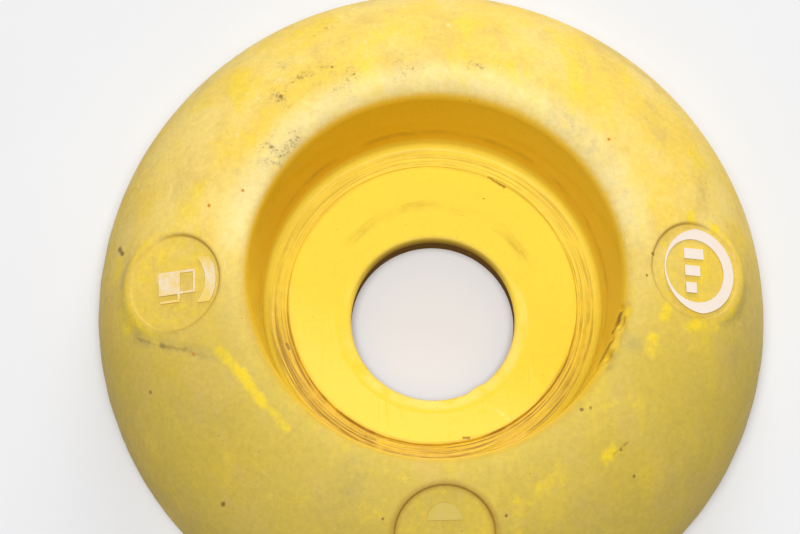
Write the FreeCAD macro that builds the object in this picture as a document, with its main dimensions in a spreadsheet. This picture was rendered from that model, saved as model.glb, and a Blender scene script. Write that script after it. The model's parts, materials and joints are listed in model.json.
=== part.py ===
# Selector bezel for a fuel valve: a domed flange round a deep cup, moulded in one piece,
# with three round legend pads and white printed marks. Millimetres, +Z up.
# The origin is at the centre of the flange, on the plane that the rim and the neck collar stand on.
import FreeCAD, Part
import math
import os
import Sketcher
from FreeCAD import Vector

SIZES = [
    # cup: tapered wall, cove, gutter and flat floor
    ("cup_mouth_radius", 29.3),
    ("cup_taper", 1.5),
    ("floor_height", 4.4),
    ("floor_thickness", 3.0),
    ("cove_radius", 1.2),
    ("heel_radius", 3.0),
    ("gutter_width", 4.1),
    ("gutter_depth", 0.6),
    ("gutter_step", 0.3),
    # flange: from the mouth out to the rim, one arc up to the crown, and the cup's rounded lip
    ("flange_width", 25.7),
    ("crown_height", 23.5),
    ("crown_reach", 0.46),
    ("lip_radius", 3.0),
    ("wall", 3.0),
    # hole for the valve's neck, a little towards the lower pad, with a collar under the floor
    ("bore_radius", 13.4),
    ("bore_offset", 2.7),
    ("bore_edge", 0.8),
    ("collar_wall", 3.2),
    # legend pads: flat faces that lean outwards, a little less than the flange does there,
    # each sunk into a low boss
    ("pad_reach", 11.7),
    ("pad_ease", 4.4),
    ("pad_radius", 7.6),
    ("pad_depth", 1.1),
    ("pad_rim", 0.9),
    ("pad_rim_rise", 0.2),
    ("boss_length", 5.0),
    ("boss_taper", 40.0),
    # printed marks
    ("ink", 0.12),
    ("ring_margin", 0.6),
    ("ring_width", 1.8),
    ("ring_slip", 1.55),
    ("ring_scrap_width", 7.4),
    ("bar_width", 1.7),
    ("bar_gap", 1.1),
    ("bar_height", 3.5),
    ("bar_drop", 0.8),
    ("pump_width", 3.8),
    ("pump_body", 3.7),
    ("pump_window", 2.7),
    ("pump_line", 0.4),
    ("pump_rise", 0.8),
    ("hose_gap", 0.9),
    ("hose_reach", 3.4),
    ("half_disc_radius", 2.7),
    ("half_disc_rise", 2.2),
]
PADS = [("reserve", 0), ("fuel", 180), ("off", 270)]
BARS = 3

# Sketcher's numbers for the points of an edge, the sketch's origin and its upright axis
START, END, CENTRE = 1, 2, 3
ORIGIN = (-1, 1)
UPRIGHT = -2
# how closely an edge's place is matched, and the least volume that counts as a cut
TINY = 1e-6
LEAST_CUT = 1e-3

doc = FreeCAD.newDocument("bezel")
sheet = doc.addObject("Spreadsheet::Sheet", "sizes")
for row, (name, value) in enumerate(SIZES, start=1):
    sheet.set(f"A{row}", str(value))
    sheet.setAlias(f"A{row}", name)
doc.recompute()
size = dict(SIZES)

# Sizes and places that follow from the sheet, as expressions
CUP_FLOOR_R = "(sizes.cup_mouth_radius - sizes.cup_taper)"
FLANGE_R = "(sizes.cup_mouth_radius + sizes.flange_width)"
DOME_R = "(sizes.cup_mouth_radius + sizes.crown_reach)"
DOME = (f"((({FLANGE_R} - {DOME_R}) ^ 2 + sizes.crown_height ^ 2)"
        " / (2 * sizes.crown_height))")
DOME_Z = f"(sizes.crown_height - {DOME})"
PAD_CIRCLE = "(sizes.cup_mouth_radius + sizes.pad_reach)"
PAD_Z = f"({DOME_Z} + sqrt({DOME} ^ 2 - ({PAD_CIRCLE} - {DOME_R}) ^ 2) - sizes.pad_depth)"
PAD_LEAN = f"(asin(({PAD_CIRCLE} - {DOME_R}) / {DOME}) / 1 deg - sizes.pad_ease)"
RING_R = "(sizes.pad_radius - sizes.ring_margin)"
# The same for the sketches' first shapes, as numbers
cup_floor_radius = size["cup_mouth_radius"] - size["cup_taper"]
flange_radius = size["cup_mouth_radius"] + size["flange_width"]
dome_radius = (((flange_radius - size["cup_mouth_radius"] - size["crown_reach"]) ** 2
                + size["crown_height"] ** 2) / (2 * size["crown_height"]))
dome_at = (size["cup_mouth_radius"] + size["crown_reach"], size["crown_height"] - dome_radius)


def pad_placement(turn, rise="0"):
    """Frame on a pad's face: +Z out of the face, +X down the flange, rise along the normal."""
    out = f"({PAD_CIRCLE} + ({rise}) * sin({PAD_LEAN}))"
    height = f"({PAD_Z} + ({rise}) * cos({PAD_LEAN}))"
    return (f"placement(vector({out} * cos({turn}); {out} * sin({turn}); {height});"
            f" rotation({turn}; {PAD_LEAN}; 0))")


def origin_plane(body, role):
    return next(f for f in body.Origin.OriginFeatures if f.Role == role)


def new_sketch(body, name, role="XY_Plane", place=None):
    sketch = body.newObject("Sketcher::SketchObject", name)
    sketch.AttachmentSupport = [(origin_plane(body, role), "")]
    sketch.MapMode = "FlatFace"
    if place:
        sketch.setExpression("AttachmentOffset", place)
    return sketch


def bind(sketch, constraint, expression):
    """Add a dimension and tie it to the sheet."""
    index = sketch.addConstraint(constraint)
    sketch.setExpression(f"Constraints[{index}]", expression)


def arc(centre, first, last):
    """Counter-clockwise arc from first to last round centre, in the sketch's plane."""
    angles = [math.atan2(p[1] - centre[1], p[0] - centre[0]) for p in (first, last)]
    if angles[1] < angles[0]:
        angles[1] += 2 * math.pi
    circle = Part.Circle(Vector(*centre, 0), Vector(0, 0, 1), math.dist(centre, first))
    return Part.ArcOfCircle(circle, *angles)


def line(first, last):
    return Part.LineSegment(Vector(*first, 0), Vector(*last, 0))


def join(sketch, kind, pairs):
    for first, first_point, last, last_point in pairs:
        sketch.addConstraint(Sketcher.Constraint(kind, first, first_point, last, last_point))


def circle_sketch(body, name, radius, drop=None, place=None):
    """A circle on its sketch's Y axis, dropped below the origin when a drop is given."""
    sketch = new_sketch(body, name, place=place)
    start = Vector(0, -size["bore_offset"] if drop else 0, 0)
    sketch.addGeometry(Part.Circle(start, Vector(0, 0, 1), size["pad_radius"]), False)
    if drop:
        sketch.addConstraint(Sketcher.Constraint("PointOnObject", 0, CENTRE, UPRIGHT))
        bind(sketch, Sketcher.Constraint("DistanceY", 0, CENTRE, *ORIGIN, -start.y), drop)
    else:
        join(sketch, "Coincident", [(0, CENTRE, *ORIGIN)])
    bind(sketch, Sketcher.Constraint("Radius", 0, size["pad_radius"]), radius)
    return sketch


def half_disc_sketch(body, name, radius, place):
    """The downhill half of a disc about its sketch's origin, cut off on the sketch's Y axis."""
    sketch = new_sketch(body, name, place=place)
    around = size["pad_radius"] + size["pad_rim"]
    sketch.addGeometry([arc((0, 0), (0, -around), (0, around)), line((0, around), (0, -around))],
                       False)
    join(sketch, "Coincident", [(0, CENTRE, *ORIGIN), (0, END, 1, START), (1, END, 0, START)])
    sketch.addConstraint(Sketcher.Constraint("Vertical", 1))
    bind(sketch, Sketcher.Constraint("Radius", 0, around), radius)
    return sketch


def cut(body, kind, name, profile, length=None, **settings):
    """Add a cutting feature and make sure that it took something off."""
    doc.recompute()
    before = body.Shape.Volume
    feature = body.newObject(kind, name)
    feature.Profile = profile
    for key, value in settings.items():
        setattr(feature, key, value)
    if length:
        feature.setExpression("Length", length)
    doc.recompute()
    if body.Shape.Volume > before - LEAST_CUT:
        raise RuntimeError(f"{name} cuts nothing")
    return feature


def outer_section(body):
    """Half section of the moulding with no hollow yet: flange, lip, cup wall, gutter, floor."""
    sketch = new_sketch(body, "outer_section", "XZ_Plane")
    lip_r = size["cup_mouth_radius"] + size["lip_radius"]
    reach = dome_radius - size["lip_radius"]
    lip_at = (lip_r, dome_at[1] + math.sqrt(reach ** 2 - (lip_r - dome_at[0]) ** 2))
    grow = dome_radius / reach
    crown = tuple(c + (l - c) * grow for c, l in zip(dome_at, lip_at))
    mouth = (size["cup_mouth_radius"], lip_at[1])
    gutter_z = size["floor_height"] - size["gutter_depth"]
    foot = (cup_floor_radius, gutter_z + size["cove_radius"])
    cove_at = (foot[0] - size["cove_radius"], foot[1])
    cove_end = (cove_at[0], gutter_z)
    floor_edge = (cup_floor_radius - size["gutter_width"], size["floor_height"])
    gutter_end = (floor_edge[0] + size["gutter_step"], gutter_z)
    rim_at = (flange_radius, 0)
    dome, lip, wall, cove, gutter, step, floor, axis, base = range(9)
    sketch.addGeometry([
        arc(dome_at, rim_at, crown), arc(lip_at, crown, mouth), line(mouth, foot),
        arc(cove_at, cove_end, foot), line(cove_end, gutter_end), line(gutter_end, floor_edge),
        line(floor_edge, (0, size["floor_height"])), line((0, size["floor_height"]), (0, 0)),
        line((0, 0), rim_at)], False)
    join(sketch, "Tangent", [(dome, END, lip, START), (lip, END, wall, START),
                             (wall, END, cove, END), (cove, START, gutter, START)])
    join(sketch, "Coincident", [(gutter, END, step, START), (step, END, floor, START),
                                (floor, END, axis, START), (axis, END, base, START),
                                (base, END, dome, START), (axis, END, *ORIGIN)])
    new = Sketcher.Constraint
    for flat in (gutter, floor, base):
        sketch.addConstraint(new("Horizontal", flat))
    sketch.addConstraint(new("PointOnObject", axis, START, UPRIGHT))
    for constraint, expression in [
            (new("DistanceX", *ORIGIN, dome, START, rim_at[0]), FLANGE_R),
            (new("Radius", dome, dome_radius), DOME),
            (new("DistanceY", *ORIGIN, dome, CENTRE, dome_at[1]), DOME_Z),
            (new("Radius", lip, size["lip_radius"]), "sizes.lip_radius"),
            (new("DistanceX", *ORIGIN, wall, START, mouth[0]), "sizes.cup_mouth_radius"),
            (new("DistanceX", *ORIGIN, wall, END, foot[0]), CUP_FLOOR_R),
            (new("Radius", cove, size["cove_radius"]), "sizes.cove_radius"),
            (new("DistanceY", *ORIGIN, floor, START, floor_edge[1]), "sizes.floor_height"),
            (new("DistanceX", *ORIGIN, floor, START, floor_edge[0]),
             f"{CUP_FLOOR_R} - sizes.gutter_width"),
            (new("DistanceY", gutter, END, floor, START, 1), "sizes.gutter_depth"),
            (new("DistanceX", floor, START, gutter, END, 1), "sizes.gutter_step")]:
        bind(sketch, constraint, expression)
    return sketch


def hollow_section(body):
    """Half section of the hollow underneath: below the floor, behind the cup, inside the dome."""
    sketch = new_sketch(body, "hollow_section", "XZ_Plane")
    under = dome_radius - size["wall"]
    ceiling = size["floor_height"] - size["floor_thickness"]
    back_low = (cup_floor_radius + size["wall"], ceiling + size["heel_radius"])
    heel_at = (back_low[0] - size["heel_radius"], back_low[1])
    heel_end = (heel_at[0], ceiling)
    back_r = size["cup_mouth_radius"] + size["wall"]
    back_high = (back_r, dome_at[1] + math.sqrt(under ** 2 - (back_r - dome_at[0]) ** 2))
    rim_at = (dome_at[0] + math.sqrt(under ** 2 - dome_at[1] ** 2), 0)
    axis, top, heel, back, dome, base = range(6)
    sketch.addGeometry([
        line((0, 0), (0, ceiling)), line((0, ceiling), heel_end), arc(heel_at, heel_end, back_low),
        line(back_low, back_high), arc(dome_at, rim_at, back_high), line(rim_at, (0, 0))], False)
    join(sketch, "Tangent", [(top, END, heel, START), (heel, END, back, START)])
    join(sketch, "Coincident", [(axis, START, *ORIGIN), (axis, END, top, START),
                                (back, END, dome, END), (dome, START, base, START),
                                (base, END, axis, START)])
    new = Sketcher.Constraint
    sketch.addConstraint(new("Vertical", axis))
    for flat in (top, base):
        sketch.addConstraint(new("Horizontal", flat))
    for constraint, expression in [
            (new("DistanceY", axis, START, axis, END, ceiling),
             "sizes.floor_height - sizes.floor_thickness"),
            (new("Radius", heel, size["heel_radius"]), "sizes.heel_radius"),
            (new("DistanceX", *ORIGIN, back, START, back_low[0]), f"{CUP_FLOOR_R} + sizes.wall"),
            (new("DistanceX", *ORIGIN, back, END, back_r), "sizes.cup_mouth_radius + sizes.wall"),
            (new("Radius", dome, under), f"{DOME} - sizes.wall"),
            (new("DistanceX", *ORIGIN, dome, CENTRE, dome_at[0]), DOME_R),
            (new("DistanceY", *ORIGIN, dome, CENTRE, dome_at[1]), DOME_Z)]:
        bind(sketch, constraint, expression)
    return sketch


def bezel_body():
    """The yellow moulding: turned section, pads, hollow underside, neck collar and bore."""
    body = doc.addObject("PartDesign::Body", "bezel_body")
    body.Label = "bezel_body"
    section = outer_section(body)
    flange = body.newObject("PartDesign::Revolution", "flange_and_cup")
    flange.Profile = section
    flange.ReferenceAxis = (section, ["V_Axis"])
    flange.Angle = 360
    doc.recompute()

    for name, turn in PADS:
        outline = half_disc_sketch(body, f"{name}_boss_outline",
                                   "sizes.pad_radius + sizes.pad_rim",
                                   pad_placement(turn, "sizes.pad_rim_rise"))
        boss = body.newObject("PartDesign::Pad", f"{name}_boss")
        boss.Profile = outline
        boss.Reversed = True
        boss.setExpression("Length", "sizes.boss_length")
        boss.setExpression("TaperAngle", "sizes.boss_taper")
        doc.recompute()
    for name, turn in PADS:
        outline = circle_sketch(body, f"{name}_face_outline", "sizes.pad_radius",
                                place=pad_placement(turn))
        cut(body, "PartDesign::Pocket", f"{name}_face", outline, "sizes.pad_radius", Reversed=True)

    section = hollow_section(body)
    cut(body, "PartDesign::Groove", "underside", section, ReferenceAxis=(section, ["V_Axis"]),
        Angle=360)

    outline = circle_sketch(body, "collar_outline", "sizes.bore_radius + sizes.collar_wall",
                            "sizes.bore_offset")
    collar = body.newObject("PartDesign::Pad", "neck_collar")
    collar.Profile = outline
    collar.setExpression("Length", "sizes.floor_height - sizes.floor_thickness / 2")
    outline = circle_sketch(body, "bore_outline", "sizes.bore_radius", "sizes.bore_offset")
    bore = cut(body, "PartDesign::Pocket", "neck_bore", outline, "2 * sizes.floor_height",
               Reversed=True)
    edge = body.newObject("PartDesign::Fillet", "bore_edge_round")
    edge.Base = (bore, [top_edge_of_bore(bore.Shape)])
    edge.setExpression("Radius", "sizes.bore_edge")
    return body


def top_edge_of_bore(shape):
    """Name of the circle where the bore meets the cup's floor."""
    for number, candidate in enumerate(shape.Edges, start=1):
        box = candidate.BoundBox
        at_floor = abs(box.ZMin - size["floor_height"]) < TINY and box.ZLength < TINY
        if at_floor and abs(box.XLength - 2 * size["bore_radius"]) < TINY:
            return f"Edge{number}"
    raise RuntimeError("the bore has no edge at the floor")


# Printed marks: thin solids on a pad's face, drawn in the pad's own frame.
# The legend's upright is +X of the bezel, so each mark lies along that way on its own pad.
def disc(name, radius, along=None):
    shape = doc.addObject("Part::Cylinder", name)
    shape.setExpression("Radius", radius)
    shape.setExpression("Height", "sizes.ink")
    if along:
        shape.setExpression("Placement.Base.x", along)
    return shape


def block(name, left, low, length, width):
    """A flat block from its corner: left and length along X, low and width along Y."""
    shape = doc.addObject("Part::Box", name)
    for path, expression in [("Length", length), ("Width", width), ("Height", "sizes.ink"),
                             ("Placement.Base.x", left), ("Placement.Base.y", low)]:
        shape.setExpression(path, expression)
    return shape


def joined(name, kind, shapes):
    result = doc.addObject(kind, name)
    if kind == "Part::Cut":
        result.Base, result.Tool = shapes
    else:
        result.Shapes = shapes
    return result


def on_pad(shape, label, turn):
    shape.Label = label
    shape.setExpression("Placement", pad_placement(turn))
    return shape


def ring_of_ink(name, slip=None):
    """Printed ring just inside a pad's edge; a slip thins its uphill side."""
    whole = disc(f"{name}_disc", RING_R)
    if slip:
        whole = joined(f"{name}_ink", "Part::MultiCommon",
                       [whole, disc(f"{name}_slip", RING_R, slip)])
    return joined(name, "Part::Cut",
                  [whole, disc(f"{name}_hole", f"{RING_R} - sizes.ring_width")])


def reserve_ring_print():
    """Ring that printed thin on its inner side, where the stamp slipped outwards."""
    return on_pad(ring_of_ink("reserve_ring", "sizes.ring_slip"), "reserve_ring_print", 0)


def reserve_mark_print():
    """Three upright level bars, each a step shorter than the last."""
    bars = []
    for place in range(BARS):
        pitch = (f"({(BARS - 1) / 2 - place} * (sizes.bar_width + sizes.bar_gap)"
                 " - sizes.bar_width / 2)")
        bars.append(block(f"reserve_bar_{place + 1}", "-sizes.bar_height / 2", pitch,
                          f"sizes.bar_height - {place} * sizes.bar_drop", "sizes.bar_width"))
    return on_pad(joined("reserve_bars", "Part::MultiFuse", bars), "reserve_mark_print", 0)


def fuel_ring_print():
    """The part of the ring that is left: the side nearest the cup."""
    keep = block("fuel_ring_keep", f"-{RING_R}", "-sizes.ring_scrap_width / 2", RING_R,
                 "sizes.ring_scrap_width")
    scrap = joined("fuel_ring_scrap", "Part::MultiCommon", [ring_of_ink("fuel_ring"), keep])
    return on_pad(scrap, "fuel_ring_print", 180)


def fuel_pump_print():
    """Fuel pump sign: solid case, open window above it and a hose down one side."""
    side = "(sizes.pump_width / 2)"
    foot = "(-sizes.pump_rise)"
    top = f"({foot} - sizes.pump_window)"
    case = block("pump_case", foot, f"-{side}", "sizes.pump_body", "sizes.pump_width")
    frame = joined("pump_frame", "Part::Cut", [
        block("pump_frame_outer", top, f"-{side}", "sizes.pump_window", "sizes.pump_width"),
        block("pump_frame_inner", f"{top} + sizes.pump_line", f"-{side} + sizes.pump_line",
              "sizes.pump_window", "sizes.pump_width - 2 * sizes.pump_line")])
    link = block("pump_link", foot, side, "sizes.pump_line", "sizes.hose_gap + sizes.pump_line")
    hose = block("pump_hose", foot, f"{side} + sizes.hose_gap", "sizes.hose_reach",
                 "sizes.pump_line")
    sign = joined("pump_sign", "Part::MultiFuse", [case, frame, link, hose])
    return on_pad(sign, "fuel_pump_print", 180)


def off_mark_print():
    """Half disc with its flat side outwards: all that is left of this pad's legend."""
    radius = "sizes.half_disc_radius"
    half = joined("off_half_disc", "Part::MultiCommon", [
        disc("off_disc", radius, "-sizes.half_disc_rise"),
        block("off_disc_keep", f"-sizes.half_disc_rise - {radius}", f"-{radius}", radius,
              f"2 * {radius}")])
    return on_pad(half, "off_mark_print", 270)


pieces = [bezel_body(), reserve_ring_print(), reserve_mark_print(), fuel_ring_print(),
          fuel_pump_print(), off_mark_print()]
doc.recompute()

for item in doc.Objects:
    if {"Invalid", "Error"} & set(item.State):
        raise RuntimeError(f"{item.Name} failed: {item.State}")
os.makedirs("parts", exist_ok=True)
for piece in pieces:
    if piece.Shape.isNull() or not piece.Shape.isValid():
        raise RuntimeError(f"{piece.Label} has no valid shape")
    piece.Shape.exportStep(f"parts/{piece.Label}.step")
    box = piece.Shape.BoundBox
    print(f"{piece.Label}: {len(piece.Shape.Solids)} solids, {piece.Shape.Volume:.2f} mm3, "
          f"z {box.ZMin:.2f} to {box.ZMax:.2f}, x {box.XMin:.2f} to {box.XMax:.2f}, "
          f"y {box.YMin:.2f} to {box.YMax:.2f}")
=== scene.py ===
import json
import math

import bpy
import numpy as np
from mathutils import Matrix, Vector


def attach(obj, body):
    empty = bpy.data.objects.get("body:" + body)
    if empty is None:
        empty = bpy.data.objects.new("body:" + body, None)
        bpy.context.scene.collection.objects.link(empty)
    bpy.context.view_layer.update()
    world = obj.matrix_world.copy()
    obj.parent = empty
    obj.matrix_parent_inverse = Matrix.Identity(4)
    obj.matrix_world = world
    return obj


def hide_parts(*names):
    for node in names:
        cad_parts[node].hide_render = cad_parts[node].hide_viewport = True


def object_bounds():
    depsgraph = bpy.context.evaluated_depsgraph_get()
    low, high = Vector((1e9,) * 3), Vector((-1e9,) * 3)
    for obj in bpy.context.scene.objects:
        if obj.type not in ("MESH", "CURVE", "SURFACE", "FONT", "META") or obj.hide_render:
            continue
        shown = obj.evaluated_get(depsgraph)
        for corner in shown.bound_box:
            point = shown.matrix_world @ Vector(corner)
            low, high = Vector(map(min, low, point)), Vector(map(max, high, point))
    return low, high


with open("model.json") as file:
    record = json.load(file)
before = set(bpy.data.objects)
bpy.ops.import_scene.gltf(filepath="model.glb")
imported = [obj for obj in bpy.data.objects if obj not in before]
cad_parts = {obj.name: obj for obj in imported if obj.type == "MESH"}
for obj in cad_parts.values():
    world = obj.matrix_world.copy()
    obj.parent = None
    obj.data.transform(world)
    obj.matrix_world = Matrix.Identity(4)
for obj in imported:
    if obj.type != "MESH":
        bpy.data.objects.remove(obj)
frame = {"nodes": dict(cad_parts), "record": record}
cad_low, cad_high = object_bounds()


# ---------------------------------------------------------------------------------------------
# The moulding: one piece of semi-flexible yellow plastic with a domed flange, a rounded lip,
# a tapered cup with a gutter round its flat floor, a neck hole set a little towards the off pad,
# and three flat legend pads, each sunk into the flange and edged by a low boss downhill.
MM = 0.001
# lengths in millimetres, angles in degrees; the bore and the flange's radius come from the frame
neck = next(mount for mount in frame["record"]["mounts"] if mount["name"] == "neck_bore")
BORE = neck["dims"]["r_mm"]
BORE_SHIFT = -neck["pos_m"][1] / MM
FLANGE = cad_high.x / MM
MOUTH = 29.3
TAPER = 1.5
CROWN = 23.5
CROWN_REACH = 0.46
LIP = 3.0
WALL = 3.0
FLOOR_EDGE = MOUTH - TAPER
FLOOR = 4.4
CEILING = 1.4
COVE = 1.2
HEEL = 3.0
GUTTER_WIDTH = 4.1
GUTTER = FLOOR_EDGE - GUTTER_WIDTH
GUTTER_DEPTH = 0.6
GUTTER_STEP = 0.3
RIDGE = 0.04
RIDGE_RATE = 9.0
BORE_ROUND = 0.8
COLLAR_WALL = 3.2
COLLAR = BORE + COLLAR_WALL
EDGE_ROUND = 0.2
RIM_ROUND = 0.5
RIM_TURN = 0.8
DOME_R = MOUTH + CROWN_REACH
DOME = ((FLANGE - DOME_R) ** 2 + CROWN**2) / (2 * CROWN)
DOME_Z = CROWN - DOME
LIP_R = MOUTH + LIP
LIP_Z = DOME_Z + math.sqrt((DOME - LIP) ** 2 - (LIP_R - DOME_R) ** 2)
CROWN_TURN = math.degrees(math.atan2(LIP_Z - DOME_Z, LIP_R - DOME_R))
CROWN_R = DOME_R + DOME * math.cos(math.radians(CROWN_TURN))
PAD_RADIUS = 7.6
PAD_REACH = 11.7
PAD_EASE = 4.4
PAD_DEPTH = 1.1
PAD_CIRCLE = MOUTH + PAD_REACH
PAD_LEAN = math.asin((PAD_CIRCLE - DOME_R) / DOME) - math.radians(PAD_EASE)
PAD_Z = DOME_Z + math.sqrt(DOME**2 - (PAD_CIRCLE - DOME_R) ** 2) - PAD_DEPTH
PAD_TURNS = (0.0, 180.0, 270.0)
# the zones of the surface, and a distance too small to divide by
OUTSIDE, CUP, NECK, BACK = range(4)
TINY = 1e-6


def eased(low, high, value):
    """0 below low, 1 above high, eased in between."""
    share = np.clip((value - low) / (high - low), 0.0, 1.0)
    return share * share * (3.0 - 2.0 * share)


def bend(centre, radius, first, last, step=0.25):
    """Points along an arc of the section, both ends included, angles in degrees."""
    count = max(4, int(abs(math.radians(last - first)) * radius / step))
    turn = np.radians(np.linspace(first, last, count + 1))
    return np.column_stack([centre[0] + radius * np.cos(turn), centre[1] + radius * np.sin(turn)])


def straight(first, last, count):
    """Points between two corners of the section, both ends left out."""
    share = np.linspace(0.0, 1.0, count + 2)[1:-1, None]
    return np.array(first) * (1 - share) + np.array(last) * share


def gutter_floor():
    """The turned floor of the gutter, with three fine ridges left by the mould's cutter."""
    radius = np.linspace(FLOOR_EDGE - COVE, GUTTER + GUTTER_STEP, 17)[1:-1]
    rise = RIDGE * np.clip(np.sin((radius - GUTTER) * RIDGE_RATE), 0, 1)
    return np.column_stack([radius, FLOOR - GUTTER_DEPTH + rise])


def section():
    """The closed half section from the rim, as rows of radius, height, shift and zone. A run
    gives its points, the share of the bore's shift at its two ends, and its zone."""
    cove = (FLOOR_EDGE - COVE, FLOOR - GUTTER_DEPTH + COVE)
    draft = math.degrees(math.atan2(MOUTH - FLOOR_EDGE, LIP_Z - cove[1]))
    under = DOME - WALL
    back_r = MOUTH + WALL
    back_z = DOME_Z + math.sqrt(under**2 - (back_r - DOME_R) ** 2)
    back_turn = math.degrees(math.atan2(back_z - DOME_Z, back_r - DOME_R))
    heel = (FLOOR_EDGE + WALL - HEEL, CEILING + HEEL)
    rim_turn = math.degrees(math.asin(-DOME_Z / DOME)) + RIM_TURN
    rim_in = DOME_R + math.sqrt(under**2 - DOME_Z**2)
    wall_top = (LIP_R - LIP * math.cos(math.radians(draft)), LIP_Z)
    step = (GUTTER + GUTTER_STEP, FLOOR - GUTTER_STEP)
    brow = (GUTTER - EDGE_ROUND, FLOOR - EDGE_ROUND)
    runs = [
        (bend((FLANGE - RIM_ROUND, RIM_ROUND), RIM_ROUND, -90, 0, 0.15), 0, 0, OUTSIDE),
        (bend((DOME_R, DOME_Z), DOME, rim_turn, CROWN_TURN), 0, 0, OUTSIDE),
        (bend((LIP_R, LIP_Z), LIP, CROWN_TURN, 180 - draft), 0, 0, OUTSIDE),
        (straight(wall_top, (FLOOR_EDGE, cove[1]), 30), 0, 0, CUP),
        (bend(cove, COVE, -draft, -90, 0.16), 0, 0, CUP),
        (gutter_floor(), 0, 0, CUP),
        (bend(step, GUTTER_STEP, 270, 180, 0.1), 0, 0, CUP),
        (bend(brow, EDGE_ROUND, 0, 90, 0.08), 0, 0, CUP),
        (straight((brow[0], FLOOR), (BORE + BORE_ROUND, FLOOR), 24), 0, 1, CUP),
        (bend((BORE + BORE_ROUND, FLOOR - BORE_ROUND), BORE_ROUND, 90, 180, 0.12), 1, 1, CUP),
        (straight((BORE, FLOOR - BORE_ROUND), (BORE, EDGE_ROUND), 6), 1, 1, NECK),
        (bend((BORE + EDGE_ROUND, EDGE_ROUND), EDGE_ROUND, 180, 270, 0.1), 1, 1, NECK),
        (straight((BORE + EDGE_ROUND, 0.0), (COLLAR - EDGE_ROUND, 0.0), 3), 1, 1, BACK),
        (bend((COLLAR - EDGE_ROUND, EDGE_ROUND), EDGE_ROUND, 270, 360, 0.1), 1, 1, BACK),
        (straight((COLLAR, EDGE_ROUND), (COLLAR, CEILING), 2), 1, 1, BACK),
        (straight((COLLAR, CEILING), (heel[0], CEILING), 12), 1, 0, BACK),
        (bend(heel, HEEL, 270, 360 - draft, 0.6), 0, 0, BACK),
        (straight((FLOOR_EDGE + WALL, heel[1]), (back_r, back_z), 16), 0, 0, BACK),
        (bend((DOME_R, DOME_Z), under, back_turn, math.degrees(math.asin(-DOME_Z / under)), 0.7),
         0, 0, BACK),
        (straight((rim_in, 0.0), (FLANGE - RIM_ROUND, 0.0), 3), 0, 0, BACK),
    ]
    rows = []
    for points, first, last, zone in runs:
        shift = np.linspace(first, last, len(points)) * BORE_SHIFT
        rows.append(np.column_stack([points, shift, np.full(len(points), zone)]))
    return np.vstack(rows)


FIRST_TURN, LAST_TURN = -90.0, 269.7
WIDE_TURN, FINE_TURN, FINE_SPAN = 0.45, 0.28, 16


def turns():
    """Angles round the part in radians, closer together across each pad."""
    angles = [math.radians(FIRST_TURN)]
    while angles[-1] < math.radians(LAST_TURN):
        degrees = math.degrees(angles[-1])
        gap = min(abs((degrees - pad + 180) % 360 - 180) for pad in PAD_TURNS)
        angles.append(angles[-1] + math.radians(FINE_TURN if gap < FINE_SPAN else WIDE_TURN))
    return np.array(angles)


def pad_frame(turn):
    """Centre of a pad's face, with its downhill, sideways and outward directions as rows."""
    around = math.radians(turn)
    out_ward = np.array([math.cos(around), math.sin(around), 0.0])
    side = np.array([-math.sin(around), math.cos(around), 0.0])
    normal = math.sin(PAD_LEAN) * out_ward + np.array([0.0, 0.0, math.cos(PAD_LEAN)])
    centre = PAD_CIRCLE * out_ward + np.array([0.0, 0.0, PAD_Z])
    return centre, np.array([np.cross(side, normal), side, normal])


CLOSING_STEPS = 24


def flange_height(centre, axes, along, across):
    """Height of the plain flange over a pad's plane, closed in on along the pad's normal."""
    start = centre + np.outer(along, axes[0]) + np.outer(across, axes[1])
    height = np.zeros(len(along))
    for _ in range(CLOSING_STEPS):
        spot = start + np.outer(height, axes[2])
        radius = np.hypot(spot[:, 0], spot[:, 1])
        over_lip = np.hypot(radius - LIP_R, spot[:, 2] - LIP_Z) - LIP
        over_dome = np.hypot(radius - DOME_R, spot[:, 2] - DOME_Z) - DOME
        height -= np.where(radius < CROWN_R, over_lip, over_dome)
    return height


# how far a pad's shaping reaches, along the face and below it, and where it blends out
PRESS_REACH, PRESS_DEPTH = 13.5, 9.0
BLEND_OUT = (11.0, 13.3)
# the recess: its wall, and the band beside it where the vertices crowd together
RECESS_WALL = (PAD_RADIUS - 0.02, PAD_RADIUS + 0.34)
RECESS_STEP = PAD_RADIUS + 0.15
CROWDING, CROWD_WIDTH = 0.3, 1.6
# the boss: its crest above the face, its outer slope, the turn from uphill to downhill, and
# how softly it runs into the flange
BOSS_RISE, BOSS_FALL, UPHILL_DROP = 0.2, 3.9, 4.0
BOSS_SLOPE = (PAD_RADIUS + 0.7, PAD_RADIUS + 5.0)
DOWNHILL = (-0.45, 0.7)
BOSS_BLEND = 1.0


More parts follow.
